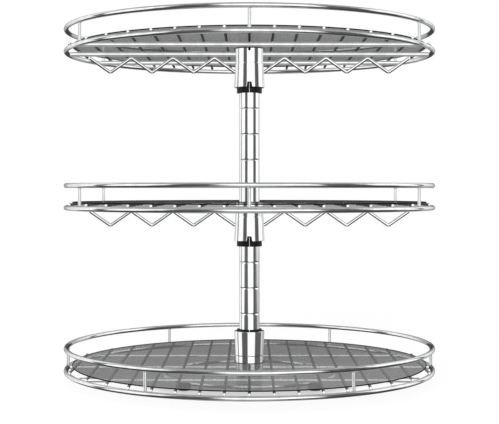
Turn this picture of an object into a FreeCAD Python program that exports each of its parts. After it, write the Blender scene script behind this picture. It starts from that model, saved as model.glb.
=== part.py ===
import FreeCAD, Part
import math
import os

# Three-tier rotating wire rack. Millimetres, +Z up.
# The origin is on the floor at the axis of the pole. X runs left to right, and the front is at -Y.
# All trays turn with the pole on the base. The middle and the top tray can be set to other grooves.

Vector = FreeCAD.Vector
x_axis = Vector(1, 0, 0)
y_axis = Vector(0, 1, 0)
z_axis = Vector(0, 0, 1)
origin = Vector(0, 0, 0)

# ---- trays
tray_diameter = 360.0
ring_wire = 4.5
rail_rise = 21.3
post_wire = 3.0
post_count = 6
bottom_first_post_angle = 0.0
upper_first_post_angle = 30.0
deck_wire = 2.5
deck_pitch = 20.9
deck_overhang = 0.9
cross_rod = 4.5
cross_rod_offset = 80.0
liner_rim_gap = 3.5
liner_thickness = 1.0
liner_hole_gap = 1.0

# ---- zigzag wire under the centre rod of the two upper trays
truss_wire = 3.2
truss_first_peak = 34.3
truss_half_pitch = 20.4
truss_peaks = 3
truss_depth = 17.3
truss_bend_radius = 2.0
truss_gap = 0.08

# ---- pole
pole_diameter = 20.0
pole_wall = 1.2
groove_pitch = 25.0
groove_width = 1.6
groove_depth = 0.4
groove_end_margin = 6.0
cap_dome = 2.0
cap_plug_length = 12.0
cap_plug_gap = 0.05
cap_rim = 0.6

# ---- collar: a straight neck and a wider, tapered mouth with a notch
collar_length = 38.0
collar_neck_length = 14.4
collar_neck_diameter = 27.0
collar_shoulder = 0.25
collar_mouth_diameter = 29.4
collar_wall = 1.4
collar_neck_rise = 5.2
notch_width = 5.6
notch_top_width = 3.8
notch_height = 4.8

# ---- split sleeve between the collar and the pole
sleeve_lip = 5.3
sleeve_lip_diameter = 24.6
sunk_sleeve_lip = 1.7
sunk_sleeve_end_gap = 0.2
sleeve_fit = 0.05
sleeve_split = 0.4
slide_gap = 0.08
bead_height = 9.5
bead_width = 2.0
bore_relief = 0.35
tab_gap = 0.3

# ---- where the trays stand: how many grooves above the one that holds the bottom sleeve
middle_groove_count = 4
top_groove_count = 10

# ---- base
bottom_ring_height = 12.5
base_ring_diameter = 170.0
base_ring_wire = 4.5
base_ring_drop = 5.9
arm_count = 4
foot_count = 4
foot_first_angle = 45.0
foot_diameter = 12.0
foot_offset = 3.2
foot_rise = 0.9
foot_taper = 0.8
plate_diameter = 43.0
plate_thickness = 2.0
washer_diameter = 42.0
washer_thickness = 1.5
hub_diameter = 44.0
hub_boss_diameter = 36.0
hub_ground_gap = 1.5
hub_boss_height = 0.6
bolt_diameter = 8.0
bolt_head_diameter = 14.0
bolt_head_height = 3.0
bolt_end = 2.0
bolt_tip = 0.8
turning_gap = 0.08
nut_width = 13.0
nut_height = 6.5
nut_float = 0.1

# ---- how many flats stand for a round piece
wire_flats = 8
ring_flats = 48
base_ring_flats = 24
tube_flats = 18
foot_flat_count = 10

# ---- derived sizes
tray_radius = tray_diameter / 2
ring_r = ring_wire / 2
rim_line = tray_radius - ring_r
deck_r = deck_wire / 2
rod_r = cross_rod / 2
rod_level = ring_r - rod_r
deck_level = ring_r + deck_r
liner_level = ring_r + deck_wire
rod_underside = rod_level - rod_r
pole_r = pole_diameter / 2
pole_bore_r = pole_r - pole_wall
neck_r = collar_neck_diameter / 2
mouth_r = collar_mouth_diameter / 2
lip_r = sleeve_lip_diameter / 2
liner_hole_r = neck_r + liner_hole_gap
liner_outer_r = tray_radius - ring_wire - liner_rim_gap
sleeve_length = collar_length + sunk_sleeve_lip - sunk_sleeve_end_gap

plate_top = bottom_ring_height + rod_underside
plate_bottom = plate_top - plate_thickness
hub_top = plate_bottom - washer_thickness
bottom_collar_mouth = plate_top + collar_length
bottom_sleeve_end = bottom_collar_mouth + sunk_sleeve_lip
first_groove = bottom_sleeve_end - bead_height
middle_bead = first_groove + middle_groove_count * groove_pitch
top_bead = first_groove + top_groove_count * groove_pitch
mouth_to_ring = collar_length - collar_neck_rise
middle_ring_height = middle_bead - bead_height + sleeve_lip + mouth_to_ring
top_ring_height = top_bead - bead_height + sleeve_lip + mouth_to_ring
pole_top = top_ring_height + collar_neck_rise
base_ring_height = bottom_ring_height - base_ring_drop
nut_bottom = plate_top + nut_float


# ---- building blocks

def flat_face(points):
    return Part.Face(Part.makePolygon(points + points[:1]))


def closed_solid(faces):
    shell = Part.Shell(faces)
    shell.sewShape()
    solid = Part.Solid(shell)
    if solid.Volume < 0:
        solid.reverse()
    return solid.removeSplitter()


def turned(profile, flats):
    """A closed outline of (radius, height) points, carried round the Z axis in equal flats."""
    stations = []
    for i in range(flats):
        angle = 2 * math.pi * i / flats
        stations.append([Vector(r * math.cos(angle), r * math.sin(angle), z) for r, z in profile])
    faces = []
    for i in range(flats):
        here = stations[i]
        after = stations[(i + 1) % flats]
        for j in range(len(profile)):
            k = (j + 1) % len(profile)
            corners = []
            for point in (here[j], here[k], after[k], after[j]):
                if not corners or (point - corners[-1]).Length > 1e-6:
                    corners.append(point)
            if (corners[-1] - corners[0]).Length < 1e-6:
                corners.pop()
            if len(corners) > 2:
                faces.append(flat_face(corners))
    return closed_solid(faces)


def wire_section(radius):
    """Corners of the wire's section, with a flat on each side: the flats lie at the radius."""
    corner = radius / math.cos(math.pi / wire_flats)
    angles = [2 * math.pi * (k + 0.5) / wire_flats for k in range(wire_flats)]
    return [(corner * math.cos(a), corner * math.sin(a)) for a in angles]


def wire_ring(line_radius, wire, height, flats):
    section = wire_section(wire / 2)
    return turned([(line_radius + u, height + v) for u, v in section], flats)


def wire_along(path, wire, across):
    """A wire along a flat path, mitred at each bend. across is square to the plane of the path."""
    runs = [(path[i + 1] - path[i]).normalize() for i in range(len(path) - 1)]
    sides = [across.cross(run) for run in runs]
    rings = []
    for i, point in enumerate(path):
        before = sides[max(i - 1, 0)]
        after = sides[min(i, len(sides) - 1)]
        mitre = (before + after) * (1 / (1 + before.dot(after)))
        rings.append([point + mitre * u + across * v for u, v in wire_section(wire / 2)])
    faces = [flat_face(rings[0]), flat_face(rings[-1])]
    for here, after in zip(rings, rings[1:]):
        for j in range(wire_flats):
            k = (j + 1) % wire_flats
            faces.append(flat_face([here[j], here[k], after[k], after[j]]))
    return closed_solid(faces)


def round_bar(radius, bottom, top):
    return Part.makeCylinder(radius, top - bottom, Vector(0, 0, bottom))


def turned_about(shape, degrees):
    copy = shape.copy()
    copy.rotate(origin, z_axis, degrees)
    return copy


def upside_down(shape):
    copy = shape.copy()
    copy.rotate(origin, x_axis, 180)
    return copy


def raised(shape, height):
    copy = shape.copy()
    copy.translate(Vector(0, 0, height))
    return copy


def spaced_round(shape, count, first_angle):
    return [turned_about(shape, first_angle + 360.0 * i / count) for i in range(count)]


# ---- trays

def rail_posts(first_angle):
    """Short posts that stand on the rim ring and carry the rail ring."""
    foot = Vector(rim_line, 0, ring_r)
    head = Vector(rim_line, 0, rail_rise - ring_r)
    post = wire_along([foot, head], post_wire, y_axis)
    return Part.makeCompound(spaced_round(post, post_count, first_angle))


def deck_end(x, first_post):
    """How far a deck wire at x runs from the centre: over the rim ring, or up to a post in its way."""
    end = math.sqrt((rim_line + deck_overhang) ** 2 - x ** 2)
    for n in range(post_count):
        angle = math.radians(first_post + 360.0 * n / post_count)
        if abs(rim_line * math.cos(angle) - x) < (post_wire + deck_wire) / 2:
            end = min(end, abs(rim_line * math.sin(angle)) - post_wire / 2)
    return end


def deck_wires(first_post):
    """Parallel wires from front to back, laid on top of the rim ring. The collar parts the middle one."""
    wires = []
    n_side = int((rim_line - deck_wire) / deck_pitch)
    for n in range(-n_side, n_side + 1):
        x = n * deck_pitch
        end = deck_end(x, first_post)
        if abs(x) < neck_r + deck_r:
            start = neck_r * math.cos(math.pi / tube_flats)
            spans = [(-end, -start), (start, end)]
        else:
            spans = [(-end, end)]
        for y0, y1 in spans:
            path = [Vector(x, y0, deck_level), Vector(x, y1, deck_level)]
            wires.append(wire_along(path, deck_wire, z_axis))
    return Part.makeCompound(wires)


def rod_end(y):
    """Where a cross rod at y meets the inner side of the rim ring."""
    inner = (rim_line - ring_r) * math.cos(math.pi / ring_flats)
    return math.sqrt(inner ** 2 - (abs(y) + rod_r) ** 2)


def cross_rods():
    """Three rods under the deck wires. The collar parts the middle one."""
    rods = []
    for y in (-cross_rod_offset, cross_rod_offset):
        end = rod_end(y)
        rods.append(wire_along([Vector(-end, y, rod_level), Vector(end, y, rod_level)], cross_rod, z_axis))
    for side in (-1, 1):
        path = [Vector(side * neck_r, 0, rod_level), Vector(side * rod_end(0), 0, rod_level)]
        rods.append(wire_along(path, cross_rod, z_axis))
    return Part.makeCompound(rods)


def truss_bend(x, centre_level, up, first, last):
    """Points on a bend about (x, centre_level). up is 1 at a peak and -1 at a low point."""
    points = []
    for turn in (first, (first + last) / 2, last):
        px = x + truss_bend_radius * math.sin(turn)
        pz = centre_level + up * truss_bend_radius * math.cos(turn)
        points.append(Vector(px, 0, pz))
    return points


def truss():
    """Zigzag wire on each side of the collar, hung from the centre rod.

    Each straight run is the common tangent of two bends, so its slope follows from their centres.
    The inner ends are coped to the collar."""
    drop = rod_r + truss_wire / 2 + truss_gap
    peak_centre = rod_level - drop - truss_bend_radius
    low_centre = rod_level - truss_depth + truss_bend_radius
    fall = peak_centre - low_centre
    span = math.hypot(truss_half_pitch, fall)
    slope = math.atan2(fall, truss_half_pitch) + math.asin(2 * truss_bend_radius / span)
    first_low = truss_first_peak - truss_half_pitch
    last_peak = truss_first_peak + 2 * truss_peaks * truss_half_pitch

    points = [Vector(neck_r, 0, rod_level - truss_depth)]
    points.append(truss_bend(first_low, low_centre, -1, 0, slope)[-1])
    for n in range(truss_peaks):
        peak_x = truss_first_peak + 2 * n * truss_half_pitch
        points += truss_bend(peak_x, peak_centre, 1, -slope, slope)
        points += truss_bend(peak_x + truss_half_pitch, low_centre, -1, -slope, slope)
    points += truss_bend(last_peak, peak_centre, 1, -slope, 0)[::2]
    plug = raised(turned(collar_outside() + [(0, collar_length), (0, 0)], tube_flats), -mouth_to_ring)
    right = wire_along(points, truss_wire, y_axis).cut(plug)
    return Part.makeCompound([turned_about(right, 180), right])


def liner():
    """A disc on the deck wires, with a hole round the collar."""
    top = liner_level + liner_thickness
    sheet = turned([(0, liner_level), (liner_outer_r, liner_level), (liner_outer_r, top), (0, top)], ring_flats)
    hole = turned([(0, liner_level), (liner_hole_r, liner_level), (liner_hole_r, top), (0, top)], tube_flats)
    return sheet.cut(hole)


# ---- collar and sleeve, drawn with the collar's mouth at height 0 and its neck upwards

shoulder_level = collar_length - collar_neck_length


def notch_outline(gap):
    """The notch in the mouth, or with a gap the tab that fills it, seen from the front."""
    low = notch_width / 2 - gap
    high = notch_top_width / 2 - gap
    top = notch_height - gap
    slope = (low - high) / top
    bottom = -notch_height if gap == 0 else 0.0
    low_at_bottom = low + slope * -bottom
    return [(-low_at_bottom, bottom), (low_at_bottom, bottom), (high, top), (-high, top)]


def front_block(outline, inner, outer):
    """An outline seen from the front, from the depth inner to the depth outer before the axis."""
    face = flat_face([Vector(x, -outer, z) for x, z in outline])
    return face.extrude(Vector(0, outer - inner, 0))


def collar_outside():
    outline = [(mouth_r, 0), (neck_r + collar_shoulder, shoulder_level)]
    return outline + [(neck_r, shoulder_level), (neck_r, collar_length)]


def collar():
    bore_r = neck_r - collar_wall
    bore = [(bore_r, collar_length), (bore_r, shoulder_level), (mouth_r - collar_wall, 0)]
    body = turned(collar_outside() + bore, tube_flats)
    notch = front_block(notch_outline(0), 0, mouth_r + 1)
    return body.cut(notch)


def sleeve_halves(lip):
    """Two halves of the split sleeve. lip is how far they stand out of the mouth.

    The bead is at the groove's level, and the rest of the bore is eased away from the pole."""
    end = -lip
    top = sleeve_length - lip
    bead = end + bead_height
    bead_r = pole_r + slide_gap
    eased_r = pole_r + bore_relief
    cone_low = mouth_r - collar_wall - sleeve_fit
    cone_high = neck_r - collar_wall - sleeve_fit
    outline = [(eased_r, end), (lip_r, end), (lip_r, 0), (cone_low, 0)]
    outline += [(cone_high, shoulder_level), (cone_high, top), (eased_r, top)]
    outline += [(eased_r, bead + bead_width), (bead_r, bead + bead_width / 2)]
    outline += [(bead_r, bead - bead_width / 2), (eased_r, bead - bead_width)]
    ring = turned(outline, tube_flats)
    tab = front_block(notch_outline(tab_gap), neck_r - collar_wall, mouth_r)
    inside = round_bar(mouth_r * math.cos(math.pi / tube_flats), end, top)
    whole = ring.fuse(tab.common(inside)).removeSplitter()
    halves = []
    for side in (-1, 1):
        keep = Part.makeBox(mouth_r, 2 * mouth_r, sleeve_length)
        keep.translate(Vector(sleeve_split / 2, -mouth_r, end))
        if side < 0:
            keep.rotate(origin, z_axis, 180)
        halves.append(whole.common(keep))
    return halves


# ---- pole

def groove_levels():
    bottom = plate_top + groove_end_margin
    top = pole_top - groove_end_margin
    lowest = math.ceil((bottom - first_groove) / groove_pitch)
    highest = math.floor((top - first_groove) / groove_pitch)
    return [first_groove + n * groove_pitch for n in range(lowest, highest + 1)]


def pole():
    outline = [(pole_bore_r, pole_top), (pole_bore_r, plate_top), (pole_r, plate_top)]
    for level in groove_levels():
        outline.append((pole_r, level - groove_width / 2))
        outline.append((pole_r - groove_depth, level))
        outline.append((pole_r, level + groove_width / 2))
    outline.append((pole_r, pole_top))
    return turned(outline, tube_flats)


def pole_cap():
    plug_r = pole_bore_r - cap_plug_gap
    plug_end = pole_top - cap_plug_length
    outline = [(0, plug_end), (plug_r, plug_end), (plug_r, pole_top), (pole_r, pole_top)]
    outline += [(pole_r, pole_top + cap_rim), (pole_r * 0.7, pole_top + cap_dome * 0.8)]
    outline += [(0, pole_top + cap_dome)]
    return turned(outline, tube_flats)


# ---- base

def base_arms():
    hub_r = hub_diameter / 2
    reach = base_ring_diameter / 2 - base_ring_wire / 2
    inner = (reach - base_ring_wire / 2) * math.cos(math.pi / base_ring_flats)
    path = [Vector(hub_r, 0, base_ring_height), Vector(inner, 0, base_ring_height)]
    arm = wire_along(path, base_ring_wire, z_axis)
    return Part.makeCompound(spaced_round(arm, arm_count, 0))


def base_ring():
    line = (base_ring_diameter - base_ring_wire) / 2
    return wire_ring(line, base_ring_wire, base_ring_height, base_ring_flats)


def rubber_feet(ring):
    """Round feet that hold the ring in a channel, each halfway between two arms."""
    radius = foot_diameter / 2
    top = base_ring_height + foot_rise
    outline = [(0, 0), (radius - foot_taper, 0), (radius, foot_taper), (radius, top), (0, top)]
    foot = turned(outline, foot_flat_count)
    foot.translate(Vector((base_ring_diameter - base_ring_wire) / 2 + foot_offset, 0, 0))
    feet = [here.cut(ring) for here in spaced_round(foot, foot_count, foot_first_angle)]
    return Part.makeCompound(feet)


def base_hub():
    """Turned hub: a flange that the arms meet, a boss under the washer and a recess for the bolt's head."""
    flange_r = hub_diameter / 2
    boss_r = hub_boss_diameter / 2
    bolt_r = bolt_diameter / 2
    flange_top = hub_top - hub_boss_height
    recess_r = bolt_head_diameter / 2
    recess_top = hub_ground_gap + bolt_head_height
    outline = [(recess_r, hub_ground_gap), (flange_r, hub_ground_gap), (flange_r, flange_top)]
    outline += [(boss_r, flange_top), (boss_r, hub_top), (bolt_r, hub_top)]
    outline += [(bolt_r, recess_top), (recess_r, recess_top)]
    return turned(outline, tube_flats)


def turning_disc(diameter, bottom, top):
    """A disc that turns on the bolt. Its hole is sized over the flats."""
    hole_r = (bolt_diameter / 2 + turning_gap) / math.cos(math.pi / tube_flats)
    outline = [(hole_r, bottom), (diameter / 2, bottom), (diameter / 2, top), (hole_r, top)]
    return turned(outline, tube_flats)


def pivot_bolt():
    head_r = bolt_head_diameter / 2
    shank_r = bolt_diameter / 2
    head_top = hub_ground_gap + bolt_head_height
    end = nut_bottom + nut_height + bolt_end
    outline = [(0, hub_ground_gap), (head_r, hub_ground_gap), (head_r, head_top), (shank_r, head_top)]
    outline += [(shank_r, end - bolt_tip), (shank_r - bolt_tip, end), (0, end)]
    return turned(outline, tube_flats)


def lock_nut():
    corner = nut_width / 2 / math.cos(math.pi / 6)
    corners = []
    for k in range(6):
        angle = math.pi * k / 3
        corners.append(Vector(corner * math.cos(angle), corner * math.sin(angle), nut_bottom))
    block = flat_face(corners).extrude(Vector(0, 0, nut_height))
    hole_r = bolt_diameter / 2
    top = nut_bottom + nut_height
    hole = turned([(0, nut_bottom), (hole_r, nut_bottom), (hole_r, top), (0, top)], tube_flats)
    return block.cut(hole)


# ---- the pieces

parts = {}


def add_tray(name, height, first_post, pieces):
    parts[name + "_rim_ring"] = raised(rim_ring, height)
    parts[name + "_rail_ring"] = raised(rim_ring, height + rail_rise)
    parts[name + "_rail_posts"] = raised(rail_posts(first_post), height)
    parts[name + "_deck_wires"] = raised(deck_wires(first_post), height)
    parts[name + "_cross_rods"] = raised(rods, height)
    parts[name + "_liner"] = raised(disc, height)
    for piece, shape in pieces.items():
        parts[name + "_" + piece] = shape


rim_ring = wire_ring(rim_line, ring_wire, 0, ring_flats)
rods = cross_rods()
disc = liner()
zigzag = truss()
plain_collar = collar()
left_half, right_half = sleeve_halves(sleeve_lip)

for name, height in (("middle", middle_ring_height), ("top", top_ring_height)):
    mouth = height - mouth_to_ring
    add_tray(name, height, upper_first_post_angle, {
        "truss": raised(zigzag, height),
        "collar": raised(plain_collar, mouth),
        "sleeve_left": raised(left_half, mouth),
        "sleeve_right": raised(right_half, mouth),
    })

sunk_left, sunk_right = sleeve_halves(sunk_sleeve_lip)
add_tray("bottom", bottom_ring_height, bottom_first_post_angle, {
    "collar": raised(upside_down(plain_collar), bottom_collar_mouth),
    "sleeve_left": raised(upside_down(sunk_left), bottom_collar_mouth),
    "sleeve_right": raised(upside_down(sunk_right), bottom_collar_mouth),
})

parts["pole"] = pole()
parts["pole_cap"] = pole_cap()
parts["turntable_plate"] = turning_disc(plate_diameter, plate_bottom, plate_top)

parts["base_ring"] = base_ring()
parts["base_arms"] = base_arms()
parts["rubber_feet"] = rubber_feet(parts["base_ring"])
parts["base_hub"] = base_hub()
parts["thrust_washer"] = turning_disc(washer_diameter, hub_top, plate_bottom)
parts["pivot_bolt"] = pivot_bolt()
parts["lock_nut"] = lock_nut()

os.makedirs("parts", exist_ok=True)
for node, shape in parts.items():
    shape.exportStep("parts/" + node + ".step")

print("ring heights", bottom_ring_height, round(middle_ring_height, 2), round(top_ring_height, 2))
print("pole", round(plate_top, 2), "to", round(pole_top, 2), "with", len(groove_levels()), "grooves")
print(len(parts), "nodes")
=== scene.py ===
import math

import bmesh
import bpy
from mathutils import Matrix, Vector, noise


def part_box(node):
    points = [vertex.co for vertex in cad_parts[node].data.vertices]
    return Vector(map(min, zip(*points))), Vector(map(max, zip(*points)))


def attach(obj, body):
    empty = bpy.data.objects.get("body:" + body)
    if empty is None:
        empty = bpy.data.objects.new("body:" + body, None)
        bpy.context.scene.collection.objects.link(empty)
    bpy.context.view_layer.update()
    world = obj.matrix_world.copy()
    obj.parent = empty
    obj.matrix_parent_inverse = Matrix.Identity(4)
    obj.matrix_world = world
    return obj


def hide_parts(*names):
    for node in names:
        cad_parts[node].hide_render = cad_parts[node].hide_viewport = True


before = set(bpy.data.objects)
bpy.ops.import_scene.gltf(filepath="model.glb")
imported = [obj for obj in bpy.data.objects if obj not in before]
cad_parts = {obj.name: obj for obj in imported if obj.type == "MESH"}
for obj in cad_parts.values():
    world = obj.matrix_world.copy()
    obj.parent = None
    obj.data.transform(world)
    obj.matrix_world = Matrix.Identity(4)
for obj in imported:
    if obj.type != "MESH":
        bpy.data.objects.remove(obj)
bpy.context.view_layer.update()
mm = 0.001    # sizes of the pieces are given in mm
print("frame loaded,", len(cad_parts), "nodes")


# finishes
# each has a broad noise that tints it and a fine one that roughens it, as scale, detail and stretch
# "bumps" says how strongly the two dent it, and "depth" how deep in mm

chromeWireLook = {"dark": (0.70, 0.71, 0.72), "light": (0.84, 0.845, 0.85), "rough": (0.05, 0.13),
                  "broad": (140, 3), "fine": (900, 5), "bumps": (0.06, 0.03), "depth": 0.1, "metal": 1}
chromeTubeLook = {"dark": (0.76, 0.765, 0.775), "light": (0.86, 0.865, 0.87), "rough": (0.04, 0.09),
                  "broad": (60, 3), "fine": (240, 4, (1, 1, 12)),    # polishing lines round the tube
                  "bumps": (0.03, 0.02), "depth": 0.1, "metal": 1}
plasticLook = {"dark": (0.003, 0.003, 0.003), "light": (0.008, 0.008, 0.008), "rough": (0.42, 0.58),
               "broad": (1600 / 9, 2), "fine": (1600, 5), "bumps": (0, 0.12), "depth": 0.2, "metal": 0,
               "sockets": {"Specular IOR Level": 0.22}}
linerLook = {"dark": (0.330, 0.330, 0.334), "light": (0.380, 0.380, 0.384), "rough": (0.03, 0.06),
             "broad": (9, 1), "fine": (420, 6), "bumps": (0.05, 0.01), "depth": 0.2, "metal": 0,
             "sockets": {"Alpha": 0.42, "IOR": 1.5, "Specular IOR Level": 0.25}}
edgeLook = {"dark": (0.003, 0.003, 0.003), "light": (0.005, 0.005, 0.005), "rough": (0.62, 0.80),
            "broad": (420 / 9, 2), "fine": (420, 5), "bumps": (0, 0.05), "depth": 0.2, "metal": 0,
            "sockets": {"Specular IOR Level": 0.08}}
rubberLook = {"dark": (0.090, 0.090, 0.090), "light": (0.140, 0.139, 0.137), "rough": (0.65, 0.85),
              "broad": (1300 / 9, 2), "fine": (1300, 5), "bumps": (0, 0.25), "depth": 0.2, "metal": 0,
              "sockets": {"Specular IOR Level": 0.3}}
nylonLook = {"dark": (0.74, 0.73, 0.69), "light": (0.84, 0.83, 0.80), "rough": (0.38, 0.50),
             "broad": (700 / 9, 2), "fine": (700, 5), "bumps": (0, 0.06), "depth": 0.2, "metal": 0}
zincLook = {"dark": (0.50, 0.51, 0.53), "light": (0.68, 0.69, 0.69), "rough": (0.24, 0.42),
            "broad": (260 / 9, 2), "fine": (260, 5), "bumps": (0, 0.10), "depth": 0.2, "metal": 1}
noiseReach = {"tint": (0.35, 0.65), "spread": (0.3, 0.7)}    # the part of a noise's range that counts


def newFinish(name, colour, metal):
    finish = bpy.data.materials.new(name)
    finish.use_nodes = True
    shader = finish.node_tree.nodes["Principled BSDF"]
    shader.inputs["Base Color"].default_value = (*colour, 1)
    shader.inputs["Metallic"].default_value = metal
    return finish, finish.node_tree, shader


def grain(tree, scale, detail=3, stretch=(1, 1, 1)):
    # noise in object space, so it keeps its size on every piece
    coords = tree.nodes.new("ShaderNodeTexCoord")
    mapping = tree.nodes.new("ShaderNodeMapping")
    mapping.inputs["Scale"].default_value = stretch
    texture = tree.nodes.new("ShaderNodeTexNoise")
    texture.inputs["Scale"].default_value = scale
    texture.inputs["Detail"].default_value = detail
    tree.links.new(coords.outputs["Object"], mapping.inputs["Vector"])
    tree.links.new(mapping.outputs["Vector"], texture.inputs["Vector"])
    return texture


def tint(tree, texture, shader, dark, light):
    ramp = tree.nodes.new("ShaderNodeValToRGB")
    for element, place, colour in zip(ramp.color_ramp.elements, noiseReach["tint"], (dark, light)):
        element.position = place
        element.color = (*colour, 1)
    tree.links.new(texture.outputs[0], ramp.inputs[0])
    tree.links.new(ramp.outputs[0], shader.inputs["Base Color"])


def spread(tree, texture, socket, low, high):
    # a number that wanders between low and high with the noise
    reach = tree.nodes.new("ShaderNodeMapRange")
    values = (*noiseReach["spread"], low, high)
    for name, value in zip(("From Min", "From Max", "To Min", "To Max"), values):
        reach.inputs[name].default_value = value
    tree.links.new(texture.outputs[0], reach.inputs["Value"])
    tree.links.new(reach.outputs[0], socket)


def dent(tree, textures, strengths, shader, depth):
    # one noise after the other, each with its own strength
    normal = None
    for texture, strength in zip(textures, strengths):
        if not strength:
            continue
        bump = tree.nodes.new("ShaderNodeBump")
        bump.inputs["Strength"].default_value = strength
        bump.inputs["Distance"].default_value = depth
        tree.links.new(texture.outputs[0], bump.inputs["Height"])
        if normal:
            tree.links.new(normal, bump.inputs["Normal"])
        normal = bump.outputs[0]
    tree.links.new(normal, shader.inputs["Normal"])


def makeFinish(name, look):
    finish, tree, shader = newFinish(name, look["light"], look["metal"])
    broad = grain(tree, *look["broad"])
    fine = grain(tree, *look["fine"])
    tint(tree, broad, shader, look["dark"], look["light"])
    spread(tree, fine, shader.inputs["Roughness"], *look["rough"])
    dent(tree, (broad, fine), look["bumps"], shader, look["depth"] * mm)
    for socket, value in look.get("sockets", {}).items():
        shader.inputs[socket].default_value = value
    return finish


chromeWire = makeFinish("chromeWire", chromeWireLook)
chromeTube = makeFinish("chromeTube", chromeTubeLook)
blackPlastic = makeFinish("blackPlastic", plasticLook)
smokeSheet = makeFinish("smokeSheet", linerLook)
sheetEdge = makeFinish("sheetEdge", edgeLook)
blackRubber = makeFinish("blackRubber", rubberLook)
whiteNylon = makeFinish("whiteNylon", nylonLook)
zincSteel = makeFinish("zincSteel", zincLook)
print("finishes made")


# mesh tools

meshDetail = {"cornerSteps": 3, "cornerShare": 0.45,    # a rounded corner takes no more than this of a side
              "sharp": 38,    # degrees; sharper edges are not smoothed over
              "weld": 0.001,    # mm; points closer than this become one
              "solidFlats": 8}    # flats on a wire of the solids


def addRings(bm, rings, closed, capped):
    # skins rings of points; closed joins the last ring to the first
    loops = [[bm.verts.new(point) for point in ring] for ring in rings]
    for here, after in zip(loops, loops[1:] + loops[:1] if closed else loops[1:]):
        for j in range(len(here)):
            k = (j + 1) % len(here)
            bm.faces.new((here[j], here[k], after[k], after[j]))
    if capped:
        bm.faces.new(reversed(loops[0]))
        bm.faces.new(loops[-1])


def addTube(bm, path, radius, sides, closed=False, chamfer=0.0):
    # a round wire along a path, with the ends chamfered like sheared wire
    count = len(path)
    runs = []
    for i in range(count):
        if closed:
            run = path[(i + 1) % count] - path[i - 1]
        else:
            run = path[min(i + 1, count - 1)] - path[max(i - 1, 0)]
        runs.append(run.normalized())
    side = runs[0].orthogonal().normalized()
    if abs(runs[0].z) < 0.9:    # not upright
        side = runs[0].cross(Vector((0, 0, 1))).normalized()
    stops = []
    for i, point in enumerate(path):
        side = (side - runs[i] * side.dot(runs[i])).normalized()
        stops.append((point, side.copy(), runs[i].cross(side), radius))
    if chamfer and not closed:
        for end, way in ((0, -1), (-1, 1)):
            point, across, up, r = stops[end]
            stops[end] = (point - runs[end] * way * chamfer, across, up, r)
            rim = (point, across, up, r - chamfer)
            stops = [rim] + stops if end == 0 else stops + [rim]
    rings = []
    for point, across, up, r in stops:
        angles = [2 * math.pi * k / sides for k in range(sides)]
        rings.append([point + across * r * math.cos(turn) + up * r * math.sin(turn) for turn in angles])
    addRings(bm, rings, closed, not closed)


def addLathe(bm, outline, steps, centre=(0, 0)):
    # a closed outline of (radius, height), points on the axis are shared
    columns = []
    shared = {}
    for i in range(steps):
        angle = 2 * math.pi * i / steps
        column = []
        for j, (r, z) in enumerate(outline):
            if r < 1e-7:
                if j not in shared:
                    shared[j] = bm.verts.new((*centre, z))
                column.append(shared[j])
            else:
                x, y = centre[0] + r * math.cos(angle), centre[1] + r * math.sin(angle)
                column.append(bm.verts.new((x, y, z)))
        columns.append(column)
    for i in range(steps):
        here, after = columns[i], columns[(i + 1) % steps]
        for j in range(len(outline)):
            k = (j + 1) % len(outline)
            corners = []
            for vert in (here[j], after[j], after[k], here[k]):
                if vert not in corners:
                    corners.append(vert)
            if len(corners) > 2 and not (here[j] is after[j] and here[k] is after[k]):
                bm.faces.new(corners)


def rounded(points, radius):
    # rounds the corners of a closed outline; a corner may carry its own radius as a third value
    steps, share = meshDetail["cornerSteps"], meshDetail["cornerShare"]
    result = []
    for i, point in enumerate(points):
        here = Vector(point[:2])
        r = point[2] if len(point) > 2 else radius
        before = Vector(points[i - 1][:2]) - here
        after = Vector(points[(i + 1) % len(points)][:2]) - here
        if r <= 0:
            result.append(tuple(here))
            continue
        half = before.angle(after) / 2
        back = min(r / math.tan(half), before.length * share, after.length * share)
        start = here + before.normalized() * back
        end = here + after.normalized() * back
        for k in range(steps + 1):
            t = k / steps
            result.append(tuple(start * (1 - t) ** 2 + here * 2 * t * (1 - t) + end * t ** 2))
    return result


def held(outline, gap):
    # extra points beside each end of the long lines, so the flats between rounded corners shade flat
    result = []
    for i, point in enumerate(outline):
        here, after = Vector(point), Vector(outline[(i + 1) % len(outline)])
        result.append(tuple(here))
        way = after - here
        if way.length > 3 * gap:
            step = way.normalized() * gap
            result += [tuple(here + step), tuple(after - step)]
    return result


def faceOutward(bm):
    # turns the faces of each separate shell outward
    bmesh.ops.recalc_face_normals(bm, faces=bm.faces)
    left = set(bm.faces)
    while left:
        stack = [left.pop()]
        shell = []
        while stack:
            face = stack.pop()
            shell.append(face)
            for edge in face.edges:
                for other in edge.link_faces:
                    if other in left:
                        left.remove(other)
                        stack.append(other)
        if sum(face.calc_center_median().dot(face.normal) * face.calc_area() for face in shell) < 0:
            bmesh.ops.reverse_faces(bm, faces=shell)


def shadeSmooth(mesh, sharp):
    for polygon in mesh.polygons:
        polygon.use_smooth = True
    mesh.set_sharp_from_angle(angle=math.radians(sharp))


def finishPiece(name, bm, finishes, body, nodes=(), sharp=meshDetail["sharp"]):
    faceOutward(bm)
    mesh = bpy.data.meshes.new(name)
    bm.to_mesh(mesh)
    bm.free()
    shadeSmooth(mesh, sharp)
    for finish in finishes:
        mesh.materials.append(finish)
    piece = bpy.data.objects.new(name, mesh)
    bpy.context.scene.collection.objects.link(piece)
    # chrome and sheets are kept out of the reflections, so the bands on the tubes stay clean
    piece.visible_glossy = finishes[0] not in (chromeWire, chromeTube, smokeSheet)
    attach(piece, body)
    if nodes:
        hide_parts(*nodes)
    return piece


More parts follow.
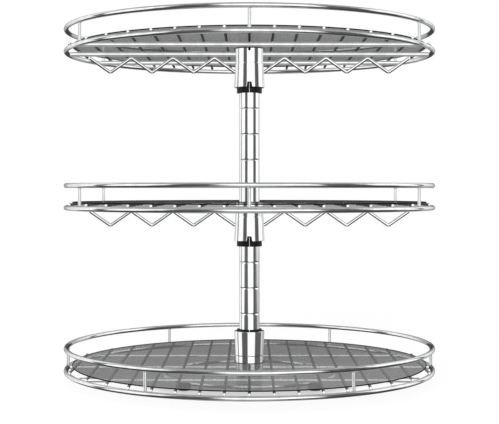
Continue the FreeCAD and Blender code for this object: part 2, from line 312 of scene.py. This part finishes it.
def bake(piece):
    # applies the modifiers of a piece to its mesh
    bpy.context.view_layer.update()
    solved = piece.evaluated_get(bpy.context.evaluated_depsgraph_get())
    mesh = bpy.data.meshes.new_from_object(solved)
    bm = bmesh.new()
    bm.from_mesh(mesh)
    bmesh.ops.remove_doubles(bm, verts=bm.verts, dist=meshDetail["weld"] * mm)
    bmesh.ops.dissolve_degenerate(bm, edges=bm.edges, dist=meshDetail["weld"] * mm)
    bm.to_mesh(mesh)
    bm.free()
    piece.modifiers.clear()
    piece.data = mesh


def looseParts(node):
    # the separate wires of one node, as lists of corner points
    bm = bmesh.new()
    bm.from_mesh(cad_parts[node].data)
    bmesh.ops.remove_doubles(bm, verts=bm.verts, dist=meshDetail["weld"] * mm)
    seen = set()
    parts = []
    for first in bm.verts:
        if first in seen:
            continue
        seen.add(first)
        stack = [first]
        part = []
        while stack:
            vert = stack.pop()
            part.append(vert.co.copy())
            for edge in vert.link_edges:
                other = edge.other_vert(vert)
                if other not in seen:
                    seen.add(other)
                    stack.append(other)
        parts.append(part)
    bm.free()
    return parts


def straightRuns(node):
    # each straight wire of a node as start, end and radius
    runs = []
    for part in looseParts(node):
        middle = sum(part, Vector()) / len(part)
        far = max(part, key=lambda point: (point - middle).length) - middle
        ways = [Vector((1, 0, 0)), Vector((0, 1, 0)), Vector((0, 0, 1))]
        along = max(ways, key=lambda way: abs(far.dot(way)))
        arms = [point - middle for point in part]
        reach = max(abs(arm.dot(along)) for arm in arms)
        corner = sum((arm - along * arm.dot(along)).length for arm in arms) / len(arms)
        radius = corner * math.cos(math.pi / meshDetail["solidFlats"])
        runs.append((middle - along * reach, middle + along * reach, radius))
    return sorted(runs, key=lambda run: tuple(round(value, 6) for value in run[0]))


def ringSizes(node):
    # radius of a ring's centre line, radius of its wire, and its height
    low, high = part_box(node)
    wire = high.z - low.z
    return (high.x - low.x) / 2 - wire / 2, wire / 2, (low.z + high.z) / 2


# rings, wires and weld beads

wires = {"ringSteps": 192, "ringSides": 20, "sides": 16, "chamfer": 0.35,
         "coped": 0.8}    # mm that a wire runs into the ring it is welded to
weldBeads = {"deck": (1.5, 1.7, 0.75), "rod": (1.6, 1.4, 0.7), "post": (2.0, 2.0, 0.7),
             "end": (1.0, 2.2, 1.6), "base": (2.4, 2.4, 2.2)}    # half sizes in mm
beadShape = {"uneven": 0.16, "lumps": 1.7, "shift": (3.1, 1.7, 0), "fineness": 2,
             "rimReach": 4.0}    # mm; a deck wire that ends further from the rim has no bead there


def makeRing(name, node, body):
    line, wireRadius, height = ringSizes(node)
    path = []
    for i in range(wires["ringSteps"]):
        angle = 2 * math.pi * i / wires["ringSteps"]
        path.append(Vector((line * math.cos(angle), line * math.sin(angle), height)))
    bm = bmesh.new()
    addTube(bm, path, wireRadius, wires["ringSides"], closed=True)
    finishPiece(name, bm, [chromeWire], body, [node])


def makeWires(name, node, body, coped=0.0):
    # straight wires with sheared ends; coped ones run into what they meet
    bm = bmesh.new()
    for start, end, radius in straightRuns(node):
        way = (end - start).normalized() * (coped * mm)
        addTube(bm, [start - way, end + way], radius, wires["sides"], chamfer=wires["chamfer"] * mm)
    finishPiece(name, bm, [chromeWire], body, [node])


def addBead(bm, centre, size, seed):
    # a weld bead: a squashed blob that is never quite even
    made = bmesh.ops.create_icosphere(bm, subdivisions=beadShape["fineness"], radius=1)["verts"]
    shift = Vector(seed * step for step in beadShape["shift"])
    for vert in made:
        uneven = 1 + beadShape["uneven"] * noise.noise(vert.co * beadShape["lumps"] + shift)
        squashed = Vector(value * half for value, half in zip(vert.co, size))
        vert.co = squashed * uneven + Vector(centre)


def makeBeads(name, places, body):
    bm = bmesh.new()
    for seed, (centre, kind) in enumerate(places):
        addBead(bm, centre, [half * mm for half in weldBeads[kind]], seed)
    finishPiece(name, bm, [chromeWire], body)


def trayBeads(tray):
    # places of a tray's weld beads, from its wires
    line = ringSizes(tray + "_rim_ring")[0]
    beads = []
    rods = straightRuns(tray + "_cross_rods")
    for start, end, radius in straightRuns(tray + "_deck_wires"):
        contact = start.z - radius
        crossing = math.sqrt(line ** 2 - start.x ** 2)
        for y in (start.y, end.y):
            if abs(y) > crossing - beadShape["rimReach"] * mm:
                beads.append(((start.x, math.copysign(crossing, y), contact), "deck"))
        for rodStart, rodEnd, rodRadius in rods:
            if rodStart.x < start.x < rodEnd.x and start.y < rodStart.y < end.y:
                beads.append(((start.x, rodStart.y, contact), "rod"))
    for start, end, radius in straightRuns(tray + "_rail_posts"):
        beads += [((start.x, start.y, start.z), "post"), ((start.x, start.y, end.z), "post")]
    for start, end, radius in rods:
        beads += [(tuple(point), "end") for point in (start, end)]
    return beads


# zigzag wire under the middle rod, hung to the right and the left of the collar

zigzag = {"wire": 3.2, "firstPeak": 34.3, "halfPitch": 20.4, "peaks": 3, "depth": 17.3, "bend": 2.0,
          "gap": 0.08, "bendSteps": 8}


def bendPoints(x, level, up, first, last):
    points = []
    for k in range(zigzag["bendSteps"] + 1):
        turn = first + (last - first) * k / zigzag["bendSteps"]
        points.append((x + zigzag["bend"] * math.sin(turn), level + up * zigzag["bend"] * math.cos(turn)))
    return points


def zigzagLine():
    # the right half, in mm from the centre and from the rim ring's level
    low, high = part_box("top_cross_rods")
    rodRadius = (high.z - low.z) / 2 / mm
    drop = rodRadius + zigzag["wire"] / 2 + zigzag["gap"]
    peakCentre = -drop - zigzag["bend"]
    lowCentre = -zigzag["depth"] + zigzag["bend"]
    fall = peakCentre - lowCentre
    slope = math.atan2(fall, zigzag["halfPitch"])
    slope += math.asin(2 * zigzag["bend"] / math.hypot(zigzag["halfPitch"], fall))
    points = bendPoints(zigzag["firstPeak"] - zigzag["halfPitch"], lowCentre, -1, 0, slope)
    for n in range(zigzag["peaks"]):
        peak = zigzag["firstPeak"] + 2 * n * zigzag["halfPitch"]
        points += bendPoints(peak, peakCentre, 1, -slope, slope)
        points += bendPoints(peak + zigzag["halfPitch"], lowCentre, -1, -slope, slope)
    lastPeak = zigzag["firstPeak"] + 2 * zigzag["peaks"] * zigzag["halfPitch"]
    points += bendPoints(lastPeak, peakCentre, 1, -slope, 0)
    return points


def makeZigzag(tray, body):
    level = ringSizes(tray + "_rim_ring")[2]
    bm = bmesh.new()
    for side in (-1, 1):
        path = [Vector((side * x * mm, 0, level + z * mm)) for x, z in zigzagLine()]
        addTube(bm, path, zigzag["wire"] / 2 * mm, wires["sides"], chamfer=wires["chamfer"] * mm)
    finishPiece(tray + "Zigzag", bm, [chromeWire], body, [tray + "_truss"])


liner = {"holeDiameter": 29.0, "edgeRound": 0.3, "edgeBand": 0.6, "steps": 160}


def makeLiner(tray, body):
    low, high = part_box(tray + "_liner")
    outer = (high.x - low.x) / 2
    hole = liner["holeDiameter"] / 2 * mm
    r = liner["edgeRound"] * mm
    outline = rounded([(hole, low.z), (outer, low.z), (outer, high.z), (hole, high.z)], r)
    bm = bmesh.new()
    addLathe(bm, held(outline, r), liner["steps"])
    piece = finishPiece(tray + "Liner", bm, [smokeSheet, sheetEdge], body, [tray + "_liner"])
    for polygon in piece.data.polygons:    # the cut edges look dark
        radius = math.hypot(polygon.center.x, polygon.center.y)
        if radius > outer - liner["edgeBand"] * mm or radius < hole + r:
            polygon.material_index = 1


trays = {"bottom": "rotor", "middle": "middle_tray", "top": "top_tray"}    # and the body each rides on

for tray, body in trays.items():
    makeRing(tray + "RimRing", tray + "_rim_ring", body)
    makeRing(tray + "RailRing", tray + "_rail_ring", body)
    makeWires(tray + "RailPosts", tray + "_rail_posts", body, wires["coped"])
    makeWires(tray + "DeckWires", tray + "_deck_wires", body)
    makeWires(tray + "CrossRods", tray + "_cross_rods", body, wires["coped"])
    makeBeads(tray + "WeldBeads", trayBeads(tray), body)
    makeLiner(tray, body)
    if tray != "bottom":
        makeZigzag(tray, body)
print("trays made")


# collars, drawn with the mouth at height 0; the bottom one stands on its neck, mouth upwards

collar = {"neckDiameter": 27.0, "neckLength": 14.4, "mouthDiameter": 29.4, "wall": 1.4,
          "shoulder": 0.25, "shoulderHalf": 0.3, "shoulderHold": 0.5,    # step of the shoulder, and its rows
          "notchWidth": 5.6, "notchTopWidth": 3.8, "notchHeight": 4.8, "notchColumns": 6,
          "coneRows": (8, 12, 16, 20), "neckRows": (9, 4),    # rows over the mouth and under the neck's end
          "steps": 96, "edge": 0.3, "edgeSteps": 3, "sharp": 50}


def notchHalf(height):
    # half the notch's width at a height over the mouth
    t = min(height / collar["notchHeight"], 1)
    return (collar["notchWidth"] * (1 - t) + collar["notchTopWidth"] * t) / 2


def collarRadius(height, length):
    shoulder, half = length - collar["neckLength"], collar["shoulderHalf"]
    mouth, neck = collar["mouthDiameter"] / 2, collar["neckDiameter"] / 2
    if height >= shoulder + half:
        return neck
    if height > shoulder - half:
        t = (height - shoulder + half) / (2 * half)
        return neck + collar["shoulder"] * (1 - t)
    return mouth + (neck + collar["shoulder"] - mouth) * height / shoulder


def boreRadius(height, length):
    t = min(height / (length - collar["neckLength"]), 1)
    return (collar["mouthDiameter"] * (1 - t) + collar["neckDiameter"] * t) / 2 - collar["wall"]


def collarAngles(height, radius):
    # columns round the collar, the first ones over the notch; one on each side of it holds the wall's shading
    half = math.asin(notchHalf(height) / radius)
    start = half + 2 * collar["edge"] / radius
    inside = collar["notchColumns"]
    outside = collar["steps"] - inside - 2
    angles = [-half + 2 * half * k / inside for k in range(inside + 1)]
    return angles + [start + (2 * math.pi - 2 * start) * k / outside for k in range(outside + 1)]


def collarLevels(length):
    hold = 2 * collar["edge"]
    top = collar["notchHeight"]
    shoulder = length - collar["neckLength"]
    levels = [0, hold, top / 4, top / 2, top * 3 / 4, top - hold, top, top + hold, *collar["coneRows"]]
    levels += [shoulder - collar["shoulderHold"], shoulder - collar["shoulderHalf"], shoulder]
    levels += [shoulder + collar["shoulderHalf"], shoulder + collar["shoulderHold"]]
    return levels + [length - row for row in collar["neckRows"]] + [length - hold, length]


def makeCollar(tray, body):
    low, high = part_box(tray + "_collar")
    length = (high.z - low.z) / mm
    flipped = tray == "bottom"
    levels = collarLevels(length)
    bm = bmesh.new()
    skins = []
    for radiusAt in (collarRadius, boreRadius):
        rows = []
        for z in levels:
            radius = radiusAt(z, length)
            row = []
            for angle in collarAngles(z, radius):
                x, y = radius * math.sin(angle), -radius * math.cos(angle)
                if flipped:
                    row.append(bm.verts.new((x * mm, -y * mm, high.z - z * mm)))
                else:
                    row.append(bm.verts.new((x * mm, y * mm, low.z + z * mm)))
            rows.append(row)
        for i in range(len(rows) - 1):
            for j in range(collar["steps"]):
                if levels[i] < collar["notchHeight"] and j < collar["notchColumns"]:
                    continue
                k = (j + 1) % collar["steps"]
                bm.faces.new((rows[i][j], rows[i][k], rows[i + 1][k], rows[i + 1][j]))
        skins.append([vert for row in rows for vert in row])
    across = dict(zip(*skins))    # each point outside and its partner in the bore
    for a, b in [edge.verts for edge in bm.edges if edge.is_boundary and edge.verts[0] in across]:
        bm.faces.new((a, b, across[b], across[a]))
    for vert in [vert for vert in bm.verts if not vert.link_faces]:
        bm.verts.remove(vert)
    piece = finishPiece(tray + "Collar", bm, [chromeTube], body, [tray + "_collar"])
    edge = piece.modifiers.new("edge", "BEVEL")
    edge.width = collar["edge"] * mm
    edge.segments = collar["edgeSteps"]
    edge.limit_method = "ANGLE"
    edge.angle_limit = math.radians(collar["sharp"])
    bake(piece)
    shadeSmooth(piece.data, collar["sharp"])


# sleeves, two halves in each collar, drawn as the collars are

sleeve = {"lipDiameter": 24.6, "lipRound": 0.15, "fit": 0.05, "split": 0.4, "bore": 20.7, "edge": 0.35,
          "beadBore": 20.16, "beadHeight": 9.5, "beadWidth": 2.0, "beadFoot": 0.3, "beadRound": 0.5,
          "steps": 48}
tab = {"gap": 0.3, "foot": 0.02, "round": 0.25,
       "rootDepth": 0.4, "frontDepth": 0.05}    # how far it starts in the sleeve and stays behind the collar


def sleeveOutline(length, lip, collarLength):
    # (radius, height) of the sleeve's wall, mouth of the collar at 0 and the lip below it
    shoulder = collarLength - collar["neckLength"]
    end, top = -lip, length - lip
    bead = end + sleeve["beadHeight"]
    bore, beadBore = sleeve["bore"] / 2, sleeve["beadBore"] / 2
    wide = collar["mouthDiameter"] / 2 - collar["wall"] - sleeve["fit"]
    slim = collar["neckDiameter"] / 2 - collar["wall"] - sleeve["fit"]
    lipRadius, lipRound = sleeve["lipDiameter"] / 2, sleeve["lipRound"]
    e, w = sleeve["edge"], sleeve["beadWidth"]
    foot, crest = sleeve["beadFoot"], sleeve["beadRound"]
    points = [(bore, end, e), (lipRadius, end, e), (lipRadius, 0, lipRound), (wide, 0, lipRound)]
    points += [(slim, shoulder, 0), (slim, top, e), (bore, top, e)]
    points += [(bore, bead + w, foot), (beadBore, bead + w / 2, crest)]
    points += [(beadBore, bead - w / 2, crest), (bore, bead - w, foot)]
    return held(rounded(points, 0), e)


def tabOutline():
    # (side, height) of half the tab that fills the collar's notch
    slope = (collar["notchWidth"] - collar["notchTopWidth"]) / 2 / collar["notchHeight"]
    top = collar["notchHeight"] - tab["gap"]
    wide = collar["notchWidth"] / 2 - tab["gap"]
    half = sleeve["split"] / 2
    foot = tab["foot"]
    return rounded([(half, foot), (wide, foot), (wide - slope * top, top), (half, top)], tab["round"])


def makeSleeve(tray, side, body):
    node = tray + "_sleeve_" + ("left" if side < 0 else "right")
    low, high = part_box(node)
    collarLow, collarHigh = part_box(tray + "_collar")
    flipped = tray == "bottom"
    lip = ((high.z - collarHigh.z) if flipped else (collarLow.z - low.z)) / mm

    def placed(x, y, z):
        if flipped:
            return Vector((x * mm, -y * mm, collarHigh.z - z * mm))
        return Vector((x * mm, y * mm, collarLow.z + z * mm))

    rings = []
    outline = sleeveOutline((high.z - low.z) / mm, lip, (collarHigh.z - collarLow.z) / mm)
    for i in range(sleeve["steps"] + 1):
        ring = []
        for r, z in outline:
            first = math.asin(sleeve["split"] / 2 / r)
            angle = first + (math.pi - 2 * first) * i / sleeve["steps"]
            ring.append(placed(side * r * math.sin(angle), -r * math.cos(angle), z))
        rings.append(ring)
    bm = bmesh.new()
    addRings(bm, rings, False, True)
    name = tray + "Sleeve" + ("Left" if side < 0 else "Right")
    piece = finishPiece(name, bm, [blackPlastic], body, [node])

    root = collar["neckDiameter"] / 2 - collar["wall"] - tab["rootDepth"]
    front = collar["mouthDiameter"] / 2 - tab["frontDepth"]
    faces = []
    for r in (root, front):
        faces.append([placed(side * x, -math.sqrt(r ** 2 - x ** 2), z) for x, z in tabOutline()])
    bm = bmesh.new()
    addRings(bm, faces, False, True)
    faceOutward(bm)
    tabMesh = bpy.data.meshes.new("tab")
    bm.to_mesh(tabMesh)
    bm.free()
    tabPiece = bpy.data.objects.new("tab", tabMesh)
    bpy.context.scene.collection.objects.link(tabPiece)
    join = piece.modifiers.new("join", "BOOLEAN")
    join.operation = "UNION"
    join.solver = "EXACT"
    join.object = tabPiece
    bake(piece)
    bpy.data.objects.remove(tabPiece)
    shadeSmooth(piece.data, meshDetail["sharp"])


for tray, body in trays.items():
    makeCollar(tray, body)
    for side in (-1, 1):
        makeSleeve(tray, side, body)
print("collars and sleeves made")


# pole and cap

pole = {"wall": 1.2, "groovePitch": 25.0, "grooveWidth": 1.6, "grooveDepth": 0.4, "endMargin": 6.0,
        "grooveSpread": 1.25,    # the rolled hollow runs out a little wider than the groove
        "grooveSteps": 8, "steps": 96}


def makePole():
    low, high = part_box("pole")
    radius = (high.x - low.x) / 2
    pitch, width, margin = pole["groovePitch"] * mm, pole["grooveWidth"] * mm, pole["endMargin"] * mm
    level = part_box("bottom_sleeve_left")[1].z - sleeve["beadHeight"] * mm    # the bottom sleeve's groove
    while level - pitch > low.z + margin:
        level -= pitch
    outline = [(radius - pole["wall"] * mm, high.z), (radius - pole["wall"] * mm, low.z), (radius, low.z)]
    while level < high.z - margin:
        outline.append((radius, level - width))
        for k in range(pole["grooveSteps"] + 1):
            t = k / pole["grooveSteps"] - 0.5
            dip = pole["grooveDepth"] * (1 + math.cos(2 * math.pi * t)) / 2
            outline.append((radius - dip * mm, level + t * width * pole["grooveSpread"]))
        outline.append((radius, level + width))
        level += pitch
    outline.append((radius, high.z))
    bm = bmesh.new()
    addLathe(bm, outline, pole["steps"])
    finishPiece("groovedPole", bm, [chromeTube], "rotor", ["pole"])


cap = {"dome": 2.0, "rim": 0.6, "plugGap": 0.05, "plugChamfer": 0.6, "domeSteps": 8, "steps": 64,
       "sharp": 60}


def makeCap():
    low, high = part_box("pole_cap")
    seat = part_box("pole")[1].z
    radius = (high.x - low.x) / 2
    plug = radius - (pole["wall"] + cap["plugGap"]) * mm
    chamfer, rim = cap["plugChamfer"] * mm, cap["rim"] * mm
    outline = [(0, low.z), (plug - chamfer, low.z), (plug, low.z + chamfer), (plug, seat), (radius, seat)]
    for k in range(cap["domeSteps"]):
        turn = k / cap["domeSteps"] * math.pi / 2
        height = seat + rim + (cap["dome"] * mm - rim) * math.sin(turn)
        outline.append((radius * math.cos(turn), height))
    outline.append((0, seat + cap["dome"] * mm))
    bm = bmesh.new()
    addLathe(bm, outline, cap["steps"])
    finishPiece("poleCap", bm, [blackPlastic], "rotor", ["pole_cap"], cap["sharp"])


makePole()
makeCap()
print("pole made")


# base: ring and arms, then hub, bearing, bolt, nut and feet

def makeBaseWires():
    makeRing("baseRing", "base_ring", "base")
    makeWires("baseArms", "base_arms", "base", wires["coped"])
    beads = []
    for start, end, radius in straightRuns("base_arms"):
        beads += [(tuple(point), "base") for point in (start, end)]
    makeBeads("baseWeldBeads", beads, "base")


turned = {"edge": 0.25, "steps": 72}


def makeTurned(name, node, finish, body, outline):
    edge = turned["edge"] * mm
    bm = bmesh.new()
    addLathe(bm, held(rounded(outline, edge), edge), turned["steps"])
    finishPiece(name, bm, [finish], body, [node])


hub = {"boss": 36.0, "bossHeight": 0.6, "recess": 14.0, "recessDepth": 3.0}
bolt = {"diameter": 8.0, "head": 14.0, "headHeight": 3.0, "driveHole": 5.0, "driveDepth": 2.2, "tip": 0.8}


def makeHub():
    low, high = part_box("base_hub")
    flange = (high.x - low.x) / 2
    bossLow = high.z - hub["bossHeight"] * mm
    boss, hole, recess = hub["boss"] / 2 * mm, bolt["diameter"] / 2 * mm, hub["recess"] / 2 * mm
    recessTop = low.z + hub["recessDepth"] * mm
    outline = [(recess, low.z), (flange, low.z), (flange, bossLow), (boss, bossLow), (boss, high.z),
               (hole, high.z), (hole, recessTop), (recess, recessTop)]
    makeTurned("baseHub", "base_hub", zincSteel, "base", outline)


bearing = {"turningGap": 0.08, "slipGap": 0.02}    # the plate slides over the washer


def makeBearing():
    hole = bolt["diameter"] / 2 * mm + bearing["turningGap"] * mm
    for name, node, finish, body, lowered in (
            ("thrustWasher", "thrust_washer", whiteNylon, "base", bearing["slipGap"] * mm),
            ("turntablePlate", "turntable_plate", zincSteel, "rotor", 0)):
        low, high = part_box(node)
        outer, top = (high.x - low.x) / 2, high.z - lowered
        makeTurned(name, node, finish, body, [(hole, low.z), (outer, low.z), (outer, top), (hole, top)])


def makeBolt():
    low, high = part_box("pivot_bolt")
    head, shank, tip = bolt["head"] / 2 * mm, bolt["diameter"] / 2 * mm, bolt["tip"] * mm
    headTop = low.z + bolt["headHeight"] * mm
    drive, deep = bolt["driveHole"] / 2 * mm, low.z + bolt["driveDepth"] * mm
    outline = [(0, deep, 0), (drive, deep, 0), (drive, low.z), (head, low.z), (head, headTop),
               (shank, headTop), (shank, high.z - tip), (shank - tip, high.z), (0, high.z, 0)]
    makeTurned("pivotBolt", "pivot_bolt", zincSteel, "base", outline)


nut = {"collar": 11.0, "collarHeight": 1.0, "collarChamfer": 0.3, "chamfer": 0.6,
       "chamferShare": 0.93,    # size of the hexagon's ends
       "steps": 36, "sharp": 20}


def makeNut():
    # a hexagon with chamfered corners and a round collar on top
    low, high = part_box("lock_nut")
    flat = (high.x - low.x) / 2 * math.cos(math.pi / 6)
    hexTop = high.z - nut["collarHeight"] * mm
    chamfer, share = nut["chamfer"] * mm, nut["chamferShare"]
    turns = [2 * math.pi * k / nut["steps"] for k in range(nut["steps"])]
    hexagon = [flat / math.cos(turn % (math.pi / 3) - math.pi / 6) for turn in turns]
    rings = []
    for s, z in ((share, low.z), (1, low.z + chamfer), (1, hexTop - chamfer), (share, hexTop)):
        rings.append([Vector((r * s * math.cos(t), r * s * math.sin(t), z)) for r, t in zip(hexagon, turns)])
    rim, hole, slant = nut["collar"] / 2 * mm, bolt["diameter"] / 2 * mm, nut["collarChamfer"] * mm
    for r, z in ((rim, hexTop), (rim, high.z - slant), (rim - slant, high.z), (hole, high.z), (hole, low.z)):
        rings.append([Vector((r * math.cos(t), r * math.sin(t), z)) for t in turns])
    bm = bmesh.new()
    addRings(bm, rings, True, False)
    finishPiece("lockNut", bm, [zincSteel], "base", ["lock_nut"], nut["sharp"])


foot = {"diameter": 12.0, "flare": 0.8, "round": 0.8, "steps": 48}


def makeFeet():
    bm = bmesh.new()
    radius, flare, r = foot["diameter"] / 2 * mm, foot["flare"] * mm, foot["round"] * mm
    for part in looseParts("rubber_feet"):
        lowX, highX = min(p.x for p in part), max(p.x for p in part)
        lowY, highY = min(p.y for p in part), max(p.y for p in part)
        top = max(p.z for p in part)
        way = Vector(((lowX + highX) / 2, (lowY + highY) / 2, 0)).normalized()
        centre = way * (max(p.dot(way) for p in part) - radius)
        outline = [(0, 0, 0), (radius - flare, 0, r / 2), (radius, flare, r / 2), (radius, top, r),
                   (0, top, 0)]
        addLathe(bm, held(rounded(outline, 0), r / 2), foot["steps"], (centre.x, centre.y))
    finishPiece("rubberFeet", bm, [blackRubber], "base", ["rubber_feet"])


makeBaseWires()
makeHub()
makeBearing()
makeBolt()
makeNut()
makeFeet()
print("base made")


# soft studio: greys round the object, as (degrees from the front towards +X, level)

lowerStops = ((-180, 0.45), (-156, 0.45), (-146, 0.9), (-110, 1.2), (-106, 0.2), (-98, 0.2), (-95, 1.2),
              (-66, 1.3), (-58, 0.13), (-17, 0.13), (-9, 1.4), (40, 1.4), (48, 0.13), (98, 0.14), (108, 0.75),
              (125, 0.75), (128, 0.2), (131, 0.2), (134, 0.75), (144, 0.5), (160, 0.45), (180, 0.45))
upperStops = ((-180, 0.45), (-156, 0.45), (-146, 0.9), (-110, 1.2), (-106, 0.2), (-98, 0.2), (-95, 1.2),
              (-54, 1.3), (-47, 0.13), (-24, 0.13), (-16, 1.4), (40, 1.4), (47, 0.13), (74, 0.13), (82, 1.35),
              (122, 1.35), (126, 0.2), (131, 0.2), (134, 1.2), (150, 0.9), (160, 0.5), (180, 0.45))
floorStops = ((-180, 0.42), (-166, 0.42), (-140, 0.06), (-30, 0.08), (-14, 0.44), (14, 0.44), (30, 0.08),
              (140, 0.06), (166, 0.42), (180, 0.42))
# where one part of the studio passes into the next, by the height of the direction, or its depth for the back
zones = {"nadir": (-0.95, -0.87), "floor": (-0.40, -0.28), "lower": (-0.14, 0.04), "ceiling": (0.62, 0.76),
         "back": (0.955, 0.972), "backTop": (0.12, 0.22), "behind": (0.02, 0.14)}
greys = {"nadir": 0.42, "ceiling": 0.45, "back": 0.06, "behindLow": 0.02, "behindHigh": 0.47,
         "backdrop": 1}    # white behind the rack


def greyRamp(tree, fac, stops):
    # a ramp of greys, placed by degrees round the object
    ramp = tree.nodes.new("ShaderNodeValToRGB")
    while len(ramp.color_ramp.elements) < len(stops):
        ramp.color_ramp.elements.new(0.5)
    for element, (degrees, level) in zip(ramp.color_ramp.elements, stops):
        element.position = (degrees + 180) / 360
        element.color = (level, level, level, 1)
    tree.links.new(fac, ramp.inputs[0])
    return ramp.outputs[0]


def makeWorld():
    world = bpy.data.worlds.new("softStudio")
    bpy.context.scene.world = world
    world.use_nodes = True
    tree = world.node_tree
    nodes, links = tree.nodes, tree.links
    coords = nodes.new("ShaderNodeTexCoord")
    parts = nodes.new("ShaderNodeSeparateXYZ")
    links.new(coords.outputs["Generated"], parts.inputs[0])

    def combine(operation, first, second):
        # each may be a number or a socket
        node = nodes.new("ShaderNodeMath")
        node.operation = operation
        for socket, value in zip(node.inputs, (first, second)):
            if isinstance(value, (int, float)):
                socket.default_value = value
            else:
                links.new(value, socket)
        return node

    def smooth(zone, way="Z"):
        # from 0 to 1 over a zone
        reach = nodes.new("ShaderNodeMapRange")
        reach.interpolation_type = "SMOOTHSTEP"
        reach.inputs["From Min"].default_value, reach.inputs["From Max"].default_value = zones[zone]
        links.new(parts.outputs[way], reach.inputs["Value"])
        return reach.outputs[0]

    def blend(fac, first, second):
        # each may be a socket or the name of a grey
        mix = nodes.new("ShaderNodeMix")
        mix.data_type = "RGBA"
        links.new(fac, mix.inputs[0])
        for socket, value in ((mix.inputs[6], first), (mix.inputs[7], second)):
            if isinstance(value, str):
                socket.default_value = (greys[value], greys[value], greys[value], 1)
            else:
                links.new(value, socket)
        return mix.outputs[2]

    front = combine("MULTIPLY", parts.outputs["Y"], -1).outputs[0]
    turn = combine("ARCTAN2", parts.outputs["X"], front).outputs[0]
    around = nodes.new("ShaderNodeMapRange")    # 0 to 1 round the object
    around.inputs["From Min"].default_value = -math.pi
    around.inputs["From Max"].default_value = math.pi
    links.new(turn, around.inputs["Value"])
    lower, upper, down = (greyRamp(tree, around.outputs[0], stops)
                          for stops in (lowerStops, upperStops, floorStops))

    colour = blend(smooth("lower"), lower, upper)
    down = blend(smooth("nadir"), "nadir", down)
    colour = blend(smooth("floor"), down, colour)
    colour = blend(smooth("ceiling"), colour, "ceiling")
    colour = blend(smooth("back", "Y"), colour, blend(smooth("backTop"), "back", colour))
    path = nodes.new("ShaderNodeLightPath")
    colour = blend(path.outputs["Is Camera Ray"], colour, "backdrop")
    through = combine("MULTIPLY", path.outputs["Is Camera Ray"], path.outputs["Transparent Depth"])
    through.use_clamp = True    # seen through a sheet
    colour = blend(through.outputs[0], colour, blend(smooth("behind"), "behindLow", "behindHigh"))
    links.new(colour, nodes["Background"].inputs["Color"])


floorLook = {"size": 8.0,    # in m, as the reach below
             "shade": (0.10, 0.10, 0.10), "rough": (0.75, 0.9), "grain": 40, "glow": 0.885,
             "underGlow": 0.58, "underReach": (0.095, 0.118),    # shade of the rack, out to the base ring
             "sheetShadowGlow": 0.25}    # painted shade: the floor glows dimmer where it is seen through a sheet, standing in for the sheet's shadow


def makeFloor():
    half = floorLook["size"] / 2
    bm = bmesh.new()
    bm.faces.new([bm.verts.new((x * half, y * half, 0)) for x, y in ((-1, -1), (1, -1), (1, 1), (-1, 1))])
    mesh = bpy.data.meshes.new("floor")
    bm.to_mesh(mesh)
    bm.free()
    floor = bpy.data.objects.new("floor", mesh)
    bpy.context.scene.collection.objects.link(floor)
    finish, tree, shader = newFinish("paleFloor", floorLook["shade"], 0)
    nodes, links = tree.nodes, tree.links
    shader.inputs["Emission Color"].default_value = (1, 1, 1, 1)
    place = nodes.new("ShaderNodeTexCoord")
    reach = nodes.new("ShaderNodeVectorMath")
    reach.operation = "LENGTH"
    links.new(place.outputs["Object"], reach.inputs[0])
    shade = nodes.new("ShaderNodeMapRange")
    shade.interpolation_type = "SMOOTHSTEP"
    values = (*floorLook["underReach"], floorLook["underGlow"], floorLook["glow"])
    for name, value in zip(("From Min", "From Max", "To Min", "To Max"), values):
        shade.inputs[name].default_value = value
    links.new(reach.outputs["Value"], shade.inputs["Value"])
    # painted shade: once a camera ray has passed a sheet, the floor's glow drops to the dimmer glow of the
    # sheet's shadow
    path = nodes.new("ShaderNodeLightPath")
    seen = nodes.new("ShaderNodeMapRange")
    seen.inputs["To Max"].default_value = floorLook["sheetShadowGlow"]
    links.new(path.outputs["Transparent Depth"], seen.inputs["Value"])
    links.new(shade.outputs[0], seen.inputs["To Min"])
    links.new(seen.outputs[0], shader.inputs["Emission Strength"])
    spread(tree, grain(tree, floorLook["grain"]), shader.inputs["Roughness"], *floorLook["rough"])
    mesh.materials.append(finish)
    floor.visible_glossy = False


softbox = {"size": (1.6, 1.2), "place": (-0.5, -1.7, 1.0), "aim": (0.5, 1.7, -0.9),    # in m
           "power": 31.0}    # in W


def makeLight():
    data = bpy.data.lights.new("softbox", "AREA")
    data.shape = "RECTANGLE"
    data.size, data.size_y = softbox["size"]
    data.energy = softbox["power"]
    light = bpy.data.objects.new("softbox", data)
    light.location = softbox["place"]
    light.rotation_euler = Vector(softbox["aim"]).to_track_quat("-Z", "Y").to_euler()
    light.visible_glossy = False
    bpy.context.scene.collection.objects.link(light)


# the photograph in pixels: its size, its focal length, its horizon's row and the pole's column
photo = {"width": 499, "height": 424, "focal": 1194.3, "horizon": 188.65, "axis": 249.4}
camera = {"distance": 1171.3, "height": 187.4, "sensor": 36.0,    # in mm; it stands level, before the pole
          "clip": (0.01, 50)}    # in m


def makeCamera():
    data = bpy.data.cameras.new("camera")
    data.sensor_width = camera["sensor"]
    data.lens = photo["focal"] / photo["width"] * camera["sensor"]
    data.shift_x = (photo["width"] / 2 - photo["axis"]) / photo["width"]
    data.shift_y = (photo["horizon"] - photo["height"] / 2) / photo["width"]
    data.clip_start, data.clip_end = camera["clip"]
    view = bpy.data.objects.new("camera", data)
    view.location = (0, -camera["distance"] * mm, camera["height"] * mm)
    view.rotation_euler = (math.pi / 2, 0, 0)
    bpy.context.scene.collection.objects.link(view)
    bpy.context.scene.camera = view


makeWorld()
makeFloor()
makeLight()
makeCamera()
bpy.context.scene.view_settings.view_transform = "Standard"
print("studio made")
